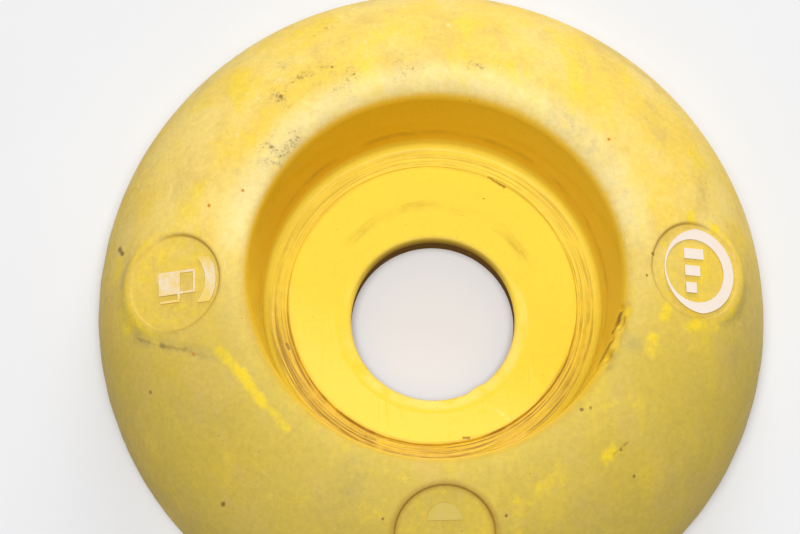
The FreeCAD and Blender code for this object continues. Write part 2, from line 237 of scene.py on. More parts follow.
def press_pads(points, pressed):
    """Sinks each pad's face into the flange and raises a soft boss round its downhill side."""
    for turn in PAD_TURNS:
        centre, axes = pad_frame(turn)
        local = (points - centre) @ axes.T
        reach = np.hypot(local[:, 0], local[:, 1])
        near = pressed & (reach < PRESS_REACH) & (local[:, 2] > -PRESS_DEPTH)
        along, across, _ = local[near].T
        rho = reach[near]
        # vertices crowd towards the step, so that it is crisp
        spread = CROWDING + (1 - CROWDING) * eased(0.0, CROWD_WIDTH, np.abs(rho - RECESS_STEP))
        pulled = RECESS_STEP + (rho - RECESS_STEP) * spread
        grow = pulled / np.maximum(rho, TINY)
        along, across = along * grow, across * grow
        height = flange_height(centre, axes, along, across)
        downhill = eased(*DOWNHILL, along / np.maximum(pulled, TINY))
        boss = (BOSS_RISE - BOSS_FALL * eased(*BOSS_SLOPE, pulled)) * downhill
        boss -= UPHILL_DROP * (1 - downhill)
        share = np.clip(0.5 + 0.5 * (boss - height) / BOSS_BLEND, 0, 1)
        shaped = height * (1 - share) + boss * share + BOSS_BLEND * share * (1 - share)
        fade = eased(*BLEND_OUT, pulled)
        shaped = shaped * (1 - fade) + height * fade
        face = 1 - eased(*RECESS_WALL, pulled)
        local[near] = np.column_stack([along, across, shaped * (1 - face)])
        points[near] = local[near] @ axes + centre
    return points


# the number of waves that are summed, how far their lengths differ, and the sum's usual peak
WAVES, WAVE_SPREAD, WAVE_PEAK = 7, (0.7, 1.5), 4.0


def waver(points, length, seed):
    """Smooth unevenness between about -1 and 1, with bumps of the given length."""
    draw = np.random.default_rng(seed)
    total = np.zeros(len(points))
    for _ in range(WAVES):
        way = draw.normal(size=3)
        way *= 2 * math.pi / length / np.linalg.norm(way) * draw.uniform(*WAVE_SPREAD)
        total += np.sin(points @ way + draw.uniform(0, 2 * math.pi))
    return total / WAVE_PEAK


def plan(radius, turn):
    """A place on the part from its distance to the axis and its angle in degrees."""
    around = math.radians(turn)
    return np.array([radius * math.cos(around), radius * math.sin(around)])


def along_path(points, path, width, core=0.35):
    """1 on a path of (radius, angle) places, or at a single one, down to 0 at the given width."""
    spot = points[:, :2]
    best = np.full(len(points), np.inf)
    places = [plan(*place) for place in path]
    for first, last in zip(places, places[1:] or places):
        run = last - first
        share = np.clip((spot - first) @ run / max(run @ run, TINY), 0, 1)
        best = np.minimum(best, np.linalg.norm(spot - first - np.outer(share, run), axis=1))
    return 1 - eased(core * width, width, best)


# warp: the length and rise of its long and short waves, its sag, and where it sets in
WARP, RIPPLE, SAG = (46.0, 0.22), (15.0, 0.05), 0.12
WARP_RADII, WARP_HEIGHTS = (20.0, 34.0), (0.4, 9.0)
# rim: where it is worn, its nicks (length, rarity and depth) and its soft waves
RIM_HEIGHTS, RIM_RADII = (7.0, 0.5), (50.0, 53.0)
NICK_LENGTH, NICK_RARITY, NICK_DEPTH = 2.6, 0.75, 0.35
RIM_WAVE = (9.0, 0.06)
# lip and flange: a gouge and a crease, as places (radius, angle), with width and depth
GOUGE = [(29.6, 347), (29.4, 340), (29.5, 329)]
GOUGE_WIDTH, GOUGE_HEIGHTS = 1.8, (16.5, 20.5)
GOUGE_DEPTH, GOUGE_ROUGHNESS, GOUGE_GRAIN, GOUGE_DROP = 0.16, 0.22, 2.6, 0.7
CREASE = [(48.0, 189.3), (44.6, 192.6), (41.0, 195.8), (36.4, 201.1)]
CREASE_WIDTH, CREASE_DEPTH = 1.4, 0.09
# neck: how far its edge is rolled over, and the scrap of flash on it
ROLL_DROP, ROLL_RADII, ROLL_SIDE = 0.40, (BORE + 2.3, BORE + 0.5), (6.0, -10.0)
ROLL_ABOVE = 2.5
FLASH_TURN, FLASH_SIZE = 300.0, 0.24
FLASH_REACH, FLASH_RADII = (0.4, 1.9), (BORE + 0.9, BORE + 0.1)


def knock_about(points, zone):
    """Use and moulding faults in the shape: soft warp, nicked rim, gouged lip, crease, flash."""
    plan_r = np.hypot(points[:, 0], points[:, 1])
    shell = eased(*WARP_RADII, plan_r)
    warp = waver(points, WARP[0], seed=1) * WARP[1] + waver(points, RIPPLE[0], seed=2) * RIPPLE[1]
    points[:, 2] += shell * (warp - SAG) * eased(*WARP_HEIGHTS, points[:, 2])
    rim = eased(*RIM_HEIGHTS, points[:, 2]) * eased(*RIM_RADII, plan_r)
    nick = np.clip(waver(points, NICK_LENGTH, seed=3) - NICK_RARITY, 0, 1) * NICK_DEPTH
    nick = nick + RIM_WAVE[1] * (1 + waver(points, RIM_WAVE[0], seed=4))
    points[:, :2] *= (1 - rim * nick / np.maximum(plan_r, 1))[:, None]

    torn = along_path(points, GOUGE, GOUGE_WIDTH) * np.isin(zone, (OUTSIDE, CUP))
    torn *= eased(*GOUGE_HEIGHTS, points[:, 2])
    ragged = np.clip(waver(points, GOUGE_GRAIN, seed=5), -0.4, 1)
    depth = GOUGE_DEPTH + GOUGE_ROUGHNESS * ragged
    points[:, :2] *= (1 + torn * depth / np.maximum(plan_r, 1))[:, None]
    points[:, 2] -= torn * depth * GOUGE_DROP
    fold = along_path(points, CREASE, CREASE_WIDTH) * (zone == OUTSIDE)
    points[:, 2] -= CREASE_DEPTH * fold

    # the neck's edge is rolled over by wear on the near side and keeps a scrap of flash
    from_bore = points[:, :2] + np.array([0.0, BORE_SHIFT])
    bore_r = np.linalg.norm(from_bore, axis=1)
    near_side = eased(*ROLL_SIDE, points[:, 1]) * np.isin(zone, (CUP, NECK))
    rolled = eased(*ROLL_RADII, bore_r) * (points[:, 2] > ROLL_ABOVE)
    points[:, 2] -= near_side * ROLL_DROP * rolled
    scrap = np.linalg.norm(from_bore - plan(BORE, FLASH_TURN), axis=1)
    scrap = (1 - eased(*FLASH_REACH, scrap)) * (zone == CUP) * eased(*FLASH_RADII, bore_r)
    points[:, :2] -= from_bore * (FLASH_SIZE * scrap / np.maximum(bore_r, 1))[:, None]
    return points


section_rows = section()
angles = turns()
radius, height, shift, zone = section_rows.T
grid = np.stack([np.outer(np.cos(angles), radius), np.outer(np.sin(angles), radius) - shift,
                 np.broadcast_to(height, (len(angles), len(radius)))], axis=2)
points = grid.reshape(-1, 3)
zones = np.tile(zone.astype(int), len(angles))
# the pads are pressed into the flange only, clear of the lip's inner side and of the rim
top_rows = (zone == OUTSIDE) & (radius > LIP_R - 1.3) & (height > 1.0)
points = press_pads(points, np.tile(top_rows, len(angles)))
# the wear is painted by the places of the true shape, before use has bent it
true_points = points.copy()
points = knock_about(points, zones)

count = len(radius)
first = np.arange(len(angles))[:, None] * count
after = (np.arange(len(angles))[:, None] + 1) % len(angles) * count
here = np.arange(count)[None, :]
onward = (here + 1) % count
faces = np.stack([first + here, after + here, after + onward, first + onward], axis=2)
mesh = bpy.data.meshes.new("moulding")
mesh.from_pydata((points * MM).tolist(), [], faces.reshape(-1, 4).tolist())
mesh.shade_smooth()
moulding = bpy.data.objects.new("moulding", mesh)
bpy.context.scene.collection.objects.link(moulding)
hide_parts("bezel_body")
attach(moulding, "root")


# ---------------------------------------------------------------------------------------------
# The moulding's wear and some painted light: where dirt, dust, scuffs and cleaner yellow lie, and where
# shade and a highlight are painted, kept on its vertices.
# A spot is (radius, angle, width); a stroke is a path of (radius, angle), a width and a strength.
SPECKLED = [(38.6, 128, 1.6), (38.6, 123, 1.2), (38.5, 118, 1.4), (38.0, 114, 0.9),
            (35.5, 111, 1.0), (33.7, 114, 1.3), (43.7, 122, 0.9), (47.3, 110, 1.0),
            (34.6, 96, 1.6), (35.2, 78, 1.0), (32.2, 141, 1.8), (31.5, 134, 1.1)]
SPECKS = [(48.5, 225.4, 0.55), (48.2, 200.0, 0.40), (31.4, 313.5, 0.46), (32.2, 315.5, 0.36),
          (38.4, 128.4, 0.5), (38.2, 114.0, 0.4), (35.4, 110.0, 0.35), (44.0, 312.2, 0.36),
          (34.2, 3.6, 0.40), (33.0, 357.4, 0.36), (39.9, 313.6, 0.36), (39.8, 283.7, 0.32),
          (39.8, 256.3, 0.30)]
RUSTY = [(37.5, 161.4, 0.40), (33.2, 155.0, 0.36), (40.0, 197.4, 0.34), (35.4, 37.0, 0.40)]
DARK_STREAKS = [([(51.2, 170.7), (50.5, 171.9)], 0.55, 0.85),
                # the strokes on this line and the first of the next darken the crease below the left pad
                # along its fold
                ([(48.0, 189.3), (44.6, 192.6)], 0.42, 0.45), ([(44.6, 192.6), (41.0, 195.8)], 0.6, 0.5),
                ([(41.0, 195.8), (36.4, 201.1)], 0.5, 0.25), ([(29.5, 346.8), (29.2, 341)], 0.26, 1.0),
                ([(29.3, 338.0), (29.0, 331.0)], 0.26, 1.0), ([(30.2, 345), (29.8, 340.5)], 0.3, 0.6),
                ([(30.2, 334.0), (29.9, 330.0)], 0.7, 0.5), ([(39.6, 311.5), (39.8, 315.8)], 0.28, 0.6),
                ([(23.1, 280.6), (23.3, 283.0)], 0.40, 0.9), ([(24.8, 194.4), (24.7, 196.4)], 0.40, 0.9),
                ([(23.9, 65.0), (23.5, 57.4)], 0.50, 0.80), ([(24.6, 246), (24.7, 242)], 0.35, 0.7)]
SMEARS = [([(33.4, 52), (32.6, 42), (32.4, 33)], 2.0, 0.85), ([(32.4, 33), (32.9, 20)], 1.7, 0.50),
          ([(32.9, 20), (32.6, 2)], 1.4, 0.35), ([(31.4, 338), (33.0, 337.3)], 1.7, 1.0),
          ([(31.0, 332), (30.9, 329)], 1.0, 0.9), ([(33.2, 130), (32.2, 108), (32.3, 86)], 1.6, 0.22),
          ([(32.3, 86), (32.8, 66)], 1.4, 0.22), ([(33.6, 158), (33.0, 140)], 1.8, 0.25),
          ([(49.4, 357), (50.3, 349), (48.6, 344)], 2.4, 0.60), ([(51.6, 5), (51.5, 352)], 2.0, 0.4),
          ([(53.0, 60), (51.5, 46)], 1.8, 0.6), ([(46.0, 18.5), (44.2, 13.5)], 1.2, 0.55),
          ([(34.4, 246), (37.5, 247)], 3.6, 0.55), ([(40.0, 214), (45.0, 206)], 3.5, 0.35),
          ([(50.5, 322), (47.0, 300)], 2.6, 0.45), ([(36.5, 204), (34.0, 190)], 2.4, 0.3),
          # this stroke darkens the crease below the left pad along its fold
          ([(48.0, 189.3), (44.6, 192.6), (41.0, 195.8), (36.4, 201.1)], 1.2, 0.9),
          ([(46.0, 256), (41.0, 243)], 3.0, 0.30), ([(42.4, 293), (44.6, 303)], 3.0, 0.40)]
FRESH = [([(36.2, 199.2), (35.7, 201), (34.6, 206.3)], 1.3, 1.15),
         ([(34.6, 206.3), (34.2, 216.4)], 1.2, 1.1), ([(34.2, 216), (34.3, 226)], 1.0, 0.9),
         ([(36.6, 350), (36.3, 347)], 1.3, 1.15), ([(40.6, 346.9), (44.5, 348.7)], 1.7, 0.95),
         ([(35.2, 341.0), (35.8, 337.3)], 1.5, 0.9), ([(33.1, 316.0), (35.5, 322.3)], 1.2, 0.7),
         ([(39.3, 309.6), (39.3, 312.5)], 1.3, 1.05), ([(41.8, 11.1), (42.0, 12.6)], 1.2, 1.05),
         ([(45.6, 8.6), (45.8, 9.6)], 1.0, 1.1), ([(51.0, 172.6), (51.0, 177)], 1.3, 0.95),
         ([(50.3, 180), (49.4, 184), (49.2, 187)], 1.4, 0.95), ([(33.4, 261.8), (33.2, 255)], 1.2, 0.55),
         ([(38.3, 287.0), (42.0, 285.6)], 2.0, 0.60), ([(38.9, 290), (36.8, 296)], 1.8, 0.5),
         ([(30.6, 347), (30.0, 342), (30.3, 334)], 1.0, 0.95), ([(33.5, 252), (33.6, 247)], 1.0, 0.55),
         ([(40.0, 240), (44.0, 232)], 3.4, 0.30), ([(36.0, 296), (41.0, 304)], 3.0, 0.30),
         ([(37.4, 325), (43.0, 331)], 3.0, 0.32), ([(49.0, 219), (52.0, 231)], 3.0, 0.30),
         ([(44.6, 305), (48.0, 309)], 2.6, 0.35), ([(20.7, 298.4), (23.0, 300.6)], 0.28, 1.5),
         ([(38.8, 256), (38.8, 252)], 2.2, 0.45)]
STROKE_GROWTH, STROKE_CORE = 1.35, 0.05
# round each pad: angle, width and strength of its line of painted shade, and the line's and crest's
# distance out
PAD_EDGES = ((0.0, 0.45, 0.40), (180.0, 0.60, 0.50), (270.0, 1.10, 0.90))
LINE_OUT, CREST_OUT, CREST_WIDTH = 0.25, 1.3, 1.1
FACE_CLEAN, CREST_CLEAN = 0.38, 0.8


def spots(places, growth=1.0):
    """Spots as strokes of full strength that stay at one place."""
    return [([(radius, turn)], growth * width, 1.0) for radius, turn, width in places]


def painted(marks):
    """The strongest of several strokes at each point of the moulding's upper side."""
    total = np.zeros(len(true_points))
    for path, width, strength in marks:
        shade = along_path(true_points, path, STROKE_GROWTH * width, STROKE_CORE)
        total = np.maximum(total, strength * shade)
    return total * (true_points[:, 2] > 2.0) * (zones != BACK)


def pad_lines():
    """Brown line of painted shade where each pad's face meets its wall, strongest uphill; and how far
    the face and the crest of the boss are rubbed clean."""
    total = np.zeros(len(true_points))
    clean = np.zeros(len(true_points))
    for turn, width, strength in PAD_EDGES:
        centre, axes = pad_frame(turn)
        local = (true_points - centre) @ axes.T
        rho = np.hypot(local[:, 0], local[:, 1])
        near = (np.abs(local[:, 2]) < 3) & (zones == OUTSIDE)
        uphill = eased(0.75, -0.35, local[:, 0] / np.maximum(rho, TINY))
        edge = eased(width, 0.1, np.abs(rho - PAD_RADIUS - LINE_OUT)) * (0.2 + 0.8 * uphill)
        total = np.maximum(total, strength * edge * near)
        crest = eased(CREST_WIDTH, 0.2, np.abs(rho - PAD_RADIUS - CREST_OUT))
        crest = crest * (1 - uphill) * CREST_CLEAN
        face = eased(PAD_RADIUS, PAD_RADIUS - 0.5, rho) * FACE_CLEAN
        clean = np.maximum(clean, np.maximum(crest, face) * near)
    return total, clean


def keep_paint(name, red, green, blue):
    """Keeps three masks on the moulding's vertices as one colour layer."""
    layer = mesh.attributes.new(name, "FLOAT_COLOR", "POINT")
    values = np.column_stack([red, green, blue, np.ones(len(red))]).astype(np.float32)
    layer.data.foreach_set("color", values.ravel())


edge_shade, clean = pad_lines()
plan_radius = np.hypot(true_points[:, 0], true_points[:, 1])
# the cup's look runs a little way up the inner side of the lip
in_cup = np.where(np.isin(zones, (CUP, NECK)), 1.0, 0.0)
in_cup = np.maximum(in_cup, (zones == OUTSIDE) * eased(MOUTH + 1.3, MOUTH + 0.1, plan_radius))
speckled = painted(spots(SPECKLED, growth=2.0))
# round the hole, the far edge is dark with dirt and painted shade, and the near edge has a painted
# highlight
from_bore = np.hypot(true_points[:, 0], true_points[:, 1] + BORE_SHIFT)
far_edge_dirt_and_shade = eased(BORE + 1.1, BORE, from_bore) * eased(-1.0, 9.0, true_points[:, 1]) * 0.8
pale_marks = eased(BORE + 2.4, BORE + 1.2, from_bore) * eased(0.0, -9.0, true_points[:, 1])
pale_marks *= zones == CUP
keep_paint("dirt_and_shade", painted(DARK_STREAKS + spots(SPECKS)), speckled, edge_shade)
keep_paint("rubbed_and_highlit", np.maximum(np.maximum(painted(FRESH), clean), pale_marks), painted(SMEARS),
           painted(spots(RUSTY)))
keep_paint("zone", in_cup, np.where(zones == NECK, 1.0, far_edge_dirt_and_shade * (zones == CUP)),
           (zones == BACK) * 1.0)


# how far apart the noises of neighbouring seeds start
SEED_STEPS = (0.37, 0.11, 0.23)


class Finish:
    """A material built from masks and mixes of the shader's nodes."""

    def __init__(self, name):
        self.material = bpy.data.materials.new(name)
        self.material.use_nodes = True
        self.tree = self.material.node_tree
        self.shader = self.tree.nodes["Principled BSDF"]
        self.place = self.put("ShaderNodeTexCoord").outputs["Object"]

    def put(self, kind, *values, **settings):
        """Adds a node; values fill its inputs in order, as links or as numbers."""
        node = self.tree.nodes.new(kind)
        for key, value in settings.items():
            setattr(node, key, value)
        for socket, value in zip(node.inputs, values):
            self.feed(socket, value)
        return node

    def feed(self, socket, value):
        """Links a socket to another, or sets its number; None leaves it alone."""
        if isinstance(value, bpy.types.NodeSocket):
            self.tree.links.new(value, socket)
        elif value is not None:
            socket.default_value = value

    def sum(self, operation, *values):
        """One step of arithmetic on sockets and numbers."""
        return self.put("ShaderNodeMath", *values, operation=operation).outputs[0]

    def fade(self, value, low, high):
        """0 at low, 1 at high, eased in between."""
        node = self.put("ShaderNodeMapRange", interpolation_type="SMOOTHSTEP")
        for socket, number in zip(node.inputs, (value, low, high, 0.0, 1.0)):
            self.feed(socket, number)
        return node.outputs[0]

    def span(self, length, low, high):
        """A fade along a length in metres, between two places given in millimetres."""
        return self.fade(length, low * MM, high * MM)

    def noise(self, size, detail=4.0, rough=0.55, stretch=(1, 1, 1), turn=0.0, seed=0):
        """Unevenness from 0 to 1 with bumps about size millimetres across."""
        start = tuple(step * seed for step in SEED_STEPS)
        turned = (0.0, 0.0, math.radians(turn))
        place = self.put("ShaderNodeMapping", self.place, start, turned, stretch).outputs[0]
        node = self.put("ShaderNodeTexNoise")
        self.feed(node.inputs["Vector"], place)
        node.inputs["Scale"].default_value = 1.0 / (size * MM)
        node.inputs["Detail"].default_value = detail
        node.inputs["Roughness"].default_value = rough
        return node.outputs["Fac"]

    def mix(self, share, first, second):
        """First colour where share is 0, second where it is 1."""
        node = self.put("ShaderNodeMix", data_type="RGBA")
        # inputs 6 and 7 are the node's two colours, and output 2 is their mix
        self.feed(node.inputs["Factor"], share)
        self.feed(node.inputs[6], first)
        self.feed(node.inputs[7], second)
        return node.outputs[2]

    def coat(self, colour, paint, mask, strength):
        """Lays paint over a colour where a mask is, at most as strongly as given."""
        return self.mix(self.sum("MULTIPLY", mask, strength), colour, paint)

    def layer(self, name):
        """The three masks of a colour layer that is kept on the mesh."""
        node = self.put("ShaderNodeAttribute", attribute_name=name)
        return self.put("ShaderNodeSeparateColor", node.outputs["Color"]).outputs

    def bump(self, height, distance, under=None):
        """Surface relief; height is 0 to 1 and distance its depth in millimetres."""
        node = self.put("ShaderNodeBump")
        node.inputs["Distance"].default_value = distance * MM
        self.feed(node.inputs["Height"], height)
        self.feed(node.inputs["Normal"], under)
        return node.outputs[0]


# the plastic's colours: clean, dusty, dirty and rubbed; some also stand for painted shade on the wall,
# near floor and neck, and for a painted highlight
YELLOW = (0.90, 0.680, 0.072, 1)
DEEP_YELLOW = (0.84, 0.56, 0.06, 1)
NEAR_FLOOR_SHADE = (0.86, 0.600, 0.045, 1)
WALL_SHADE_GOLD = (0.80, 0.475, 0.010, 1)
SCRATCH_AND_HIGHLIGHT = (0.94, 0.74, 0.21, 1)
FLANGE_YELLOW = (0.80, 0.555, 0.085, 1)
DUSTY = (0.79, 0.60, 0.18, 1)
CREAM = (0.88, 0.74, 0.36, 1)
TAN = (0.62, 0.435, 0.115, 1)
FRESH_YELLOW = (0.82, 0.590, 0.025, 1)
GREY_SMEAR = (0.34, 0.27, 0.12, 1)
EDGE_SHADE_BROWN = (0.42, 0.25, 0.040, 1)
OCHRE = (0.60, 0.370, 0.040, 1)
DIRT = (0.105, 0.055, 0.022, 1)
RUST = (0.60, 0.23, 0.03, 1)
NEAR_DARK = (0.50, 0.375, 0.056, 1)
RIM_DIRT = (0.44, 0.31, 0.070, 1)
RING_BROWN = (0.24, 0.115, 0.018, 1)
NECK_BROWN = (0.085, 0.034, 0.006, 1)
# the near side, from the middle of the part towards -Y, and the right side, towards +X
NEAR_SPAN, RIGHT_SPAN = (12, -19), (-15, 35)
# the flange's dusty lip and its dirty rim, as radii
LIP_DUST, RIM_BAND = (37.0, 32.5), (47.0, 55.0)
# the cup: where its wall's shade sets in, the two sides of its gutter, and its rings of dirt,
# each with a radius, a width, a patchiness and a strength
WALL_FOOT = (5.2, 7.0)
GUTTER_INNER, GUTTER_OUTER = (GUTTER - 0.7, GUTTER + 0.2), (FLOOR_EDGE - 0.3, FLOOR_EDGE - 1.6)
GUTTER_RINGS = [(GUTTER + 0.05, 0.40, (0.42, 0.68), 0.75),
                (GUTTER + 1.95, 0.45, (0.44, 0.66), 0.65)]
RING_WANDER = 0.22
KNOB_RUB_HEIGHT, SMUDGE_RADIUS = 9.0, 16.9
# how many cells of noise the turned streaks have round the cup
STREAK_CELLS = 1.7


def dirt_ring(finish, distance, width, wander, seed, patchy):
    """A thin line of dirt at a distance, given in metres as a socket, that wanders and fades."""
    drift = finish.sum("MULTIPLY_ADD", finish.noise(9, 3, seed=seed), 2 * wander * MM, -wander * MM)
    off = finish.sum("ABSOLUTE", finish.sum("ADD", distance, drift))
    line = finish.span(off, width, 0.1 * width)
    return finish.sum("MULTIPLY", line, finish.fade(finish.noise(8, 4, 0.6, seed=seed + 1), *patchy))


def turned_streaks(finish, flat, radius, width, seed):
    """Unevenness drawn out into fine rings round the cup, each width millimetres across."""
    way = finish.put("ShaderNodeVectorMath", flat, operation="NORMALIZE").outputs[0]
    cell = finish.sum("MULTIPLY_ADD", radius, 1.0 / (width * MM), seed)
    up = finish.put("ShaderNodeCombineXYZ", 0.0, 0.0, cell).outputs[0]
    place = finish.put("ShaderNodeVectorMath", way, (STREAK_CELLS,) * 3, up,
                       operation="MULTIPLY_ADD").outputs[0]
    node = finish.put("ShaderNodeTexNoise", place)
    node.inputs["Scale"].default_value = 1.0
    node.inputs["Detail"].default_value = 4.0
    node.inputs["Roughness"].default_value = 0.6
    return node.outputs["Fac"]


def flange_colour(finish, dirt_and_shade, rubbed_and_highlit, radius, near, right):
    """Outside of the cup: matte yellow, greyed and dusty, with cleaner patches rubbed through, painted
    shade along the pads' edges, a far lip paler with dust and painted highlight, and a rim painted
    lighter towards the right. Gives the colour and the mask of the dark marks on it."""
    streaks, speckled, edge_shade = dirt_and_shade[0], dirt_and_shade[1], dirt_and_shade[2]
    fresh, smear, rusty = rubbed_and_highlit[0], rubbed_and_highlit[1], rubbed_and_highlit[2]
    coarse = finish.noise(2.2, 6, 0.72, seed=6)
    # dust, thickest on the lip, a darker coat on the near side, and patches of tan
    dusty = finish.sum("MULTIPLY", finish.fade(finish.noise(13, 7, 0.68, seed=1), 0.40, 0.64), 0.8)
    lip_dust = finish.sum("MULTIPLY", finish.span(radius, *LIP_DUST),
                          finish.fade(coarse, 0.1, 0.6))
    dusty = finish.sum("MAXIMUM", dusty, lip_dust)
    dusty = finish.sum("MULTIPLY", dusty, finish.sum("MULTIPLY_ADD", near, -0.55, 1.0))
    colour = finish.mix(dusty, FLANGE_YELLOW, DUSTY)
    colour = finish.coat(colour, NEAR_DARK, near, 0.70)
    tan = finish.fade(finish.noise(7, 8, 0.74, stretch=(1, 0.6, 1), turn=30, seed=3), 0.45, 0.68)
    colour = finish.coat(colour, TAN, tan, 0.62)
    # yellow that is rubbed clean in patches, pale scuffs on the far side, the far lip paler with dust
    # and painted highlight, and the dirty rim, whose dirt fades out towards the right as painted light
    patches = finish.noise(7, 6, 0.68, stretch=(1, 0.4, 1), turn=40, seed=4)
    rubbed_clean = finish.fade(patches, 0.51, 0.68)
    rubbed_clean = finish.sum("MULTIPLY", rubbed_clean,
                              finish.sum("MULTIPLY_ADD", near, -0.34, 0.60))
    colour = finish.mix(rubbed_clean, colour, FRESH_YELLOW)
    scuffs = finish.noise(1.5, 5, 0.7, stretch=(1, 0.3, 1), turn=-65, seed=60)
    scuffs = finish.fade(scuffs, 0.60, 0.74)
    scuffs = finish.sum("MULTIPLY", scuffs, finish.fade(near, 0.9, 0.1))
    # pale dust and painted highlight on the far lip
    far_lip_dust_and_highlight = finish.sum("MULTIPLY", lip_dust, finish.fade(near, 0.25, 0.0))
    scuffs = finish.sum("MAXIMUM", scuffs, finish.sum("MULTIPLY", far_lip_dust_and_highlight, 0.85))
    colour = finish.coat(colour, CREAM, scuffs, 0.62)
    rim = finish.sum("MULTIPLY", finish.span(radius, *RIM_BAND), finish.fade(coarse, 0.2, 0.75))
    # painted light: the rim's dirt fades out towards the right
    rim = finish.sum("MULTIPLY", rim, finish.sum("MULTIPLY_ADD", right, -0.36, 0.36))
    colour = finish.mix(rim, colour, RIM_DIRT)
    # the marks that lie at places of their own, with their edges broken up by noise
    broken = finish.sum("MULTIPLY_ADD", coarse, 1.5, -0.75)
    fresh = finish.fade(finish.sum("MULTIPLY_ADD", broken, 1.7, fresh), 0.25, 1.30)
    colour = finish.coat(colour, FRESH_YELLOW, fresh, 0.95)
    smear = finish.sum("MULTIPLY", smear, finish.fade(coarse, 0.28, 0.70))
    colour = finish.coat(colour, GREY_SMEAR, smear, 0.55)
    # painted shade: a brown line round each pad's face, strongest uphill
    line = finish.sum("MULTIPLY", edge_shade, finish.fade(coarse, 0.0, 0.5))
    colour = finish.coat(colour, EDGE_SHADE_BROWN, line, 0.85)
    colour = finish.mix(finish.fade(finish.sum("ADD", rusty, broken), 0.3, 0.8), colour, RUST)
    fine = finish.noise(0.75, 5, 0.75, seed=9)
    clumped = finish.sum("MULTIPLY", speckled, finish.fade(coarse, 0.40, 0.62))
    scatter = finish.sum("MULTIPLY", clumped, finish.fade(fine, 0.50, 0.62))
    colour = finish.coat(colour, GREY_SMEAR, clumped, 0.30)
    stray = finish.sum("MULTIPLY", finish.fade(finish.noise(0.7, 1, seed=10), 0.78, 0.83), 0.7)
    marks = finish.fade(finish.sum("ADD", streaks, finish.sum("MULTIPLY", broken, 0.7)), 0.2, 0.85)
    marks = finish.sum("MAXIMUM", marks, finish.sum("MAXIMUM", scatter, stray))
    return finish.coat(colour, DIRT, marks, 0.72), marks


